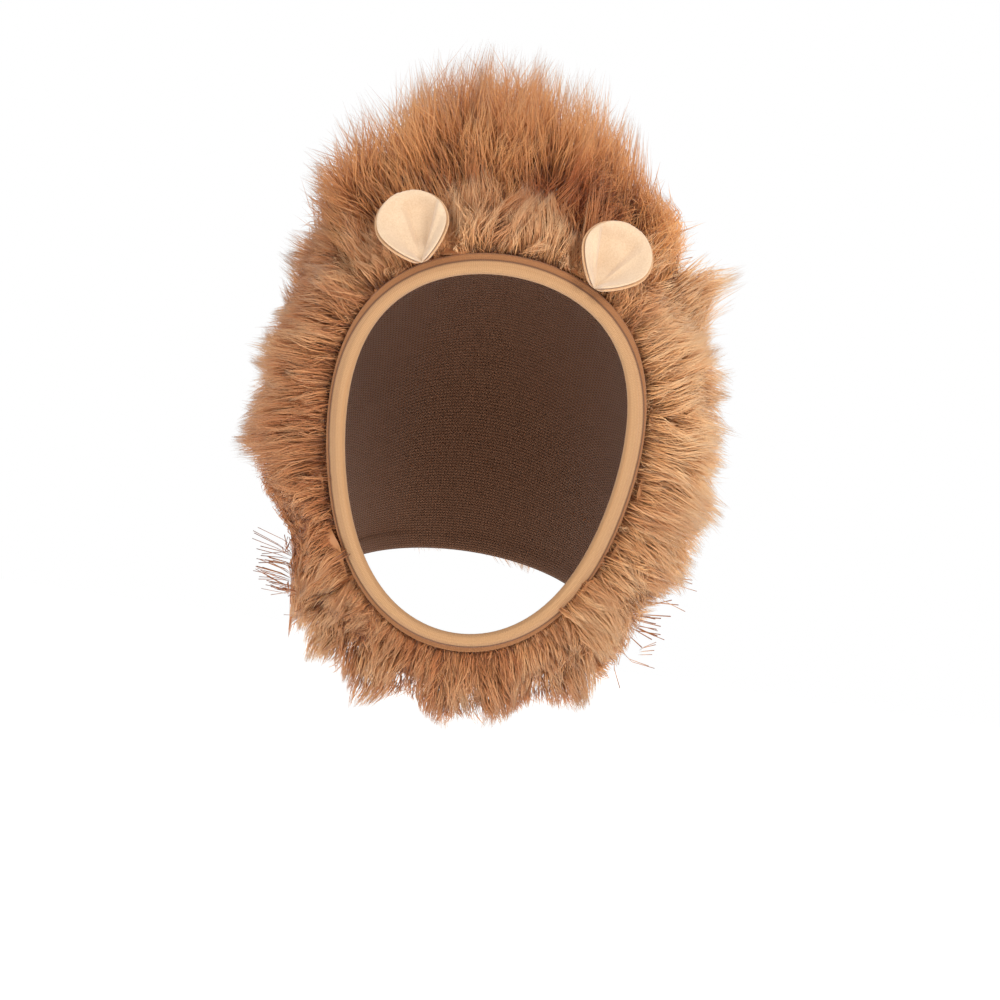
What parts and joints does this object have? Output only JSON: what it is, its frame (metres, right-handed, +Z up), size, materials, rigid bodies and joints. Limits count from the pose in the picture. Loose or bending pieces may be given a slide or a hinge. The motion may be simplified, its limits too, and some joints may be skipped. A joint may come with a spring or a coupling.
{
  "type": "pet lion mane wig",
  "caption": "Soft pull-over hood of long-pile fake fur for a pet's head, with a round face opening bound in knit tape, two small upright ears and a tall tufted crest.",
  "frame": {"origin": "inside the hood at the top of its crown, where it sits on the wearer's head", "axes": "+Z up as worn, -Y out through the face opening, +X to the right of a viewer who faces the wearer"},
  "size_m": [0.2193, 0.2104, 0.2891],
  "materials": {
    "knit_backing": "brown knitted backing cloth of fake fur, matte",
    "knit_tape": "tan fine-ribbed knit tape, matte, with a turned seam",
    "ear_fleece": "cream short-nap fleece, soft and matte",
    "ear_back_fleece": "tan short-nap fleece, soft and matte",
    "mane_fur": "long-pile fake fur, golden brown, lighter along its length with dark tips",
    "crest_fur": "longest-pile fake fur, deeper reddish brown at the roots"
  },
  "bodies": {
    "root": {"crown_backing": "knit_backing", "left_cheek_backing": "knit_backing", "right_cheek_backing": "knit_backing", "throat_backing": "knit_backing", "nape_backing": "knit_backing", "face_binding": "knit_tape", "left_ear_front": "ear_fleece", "left_ear_back": "ear_back_fleece", "right_ear_front": "ear_fleece", "right_ear_back": "ear_back_fleece", "brow_fur": "mane_fur", "crest_fur": "crest_fur", "nape_fur": "mane_fur", "left_cheek_fur": "mane_fur", "right_cheek_fur": "mane_fur", "throat_fur": "mane_fur"}
  },
  "joints": []
}
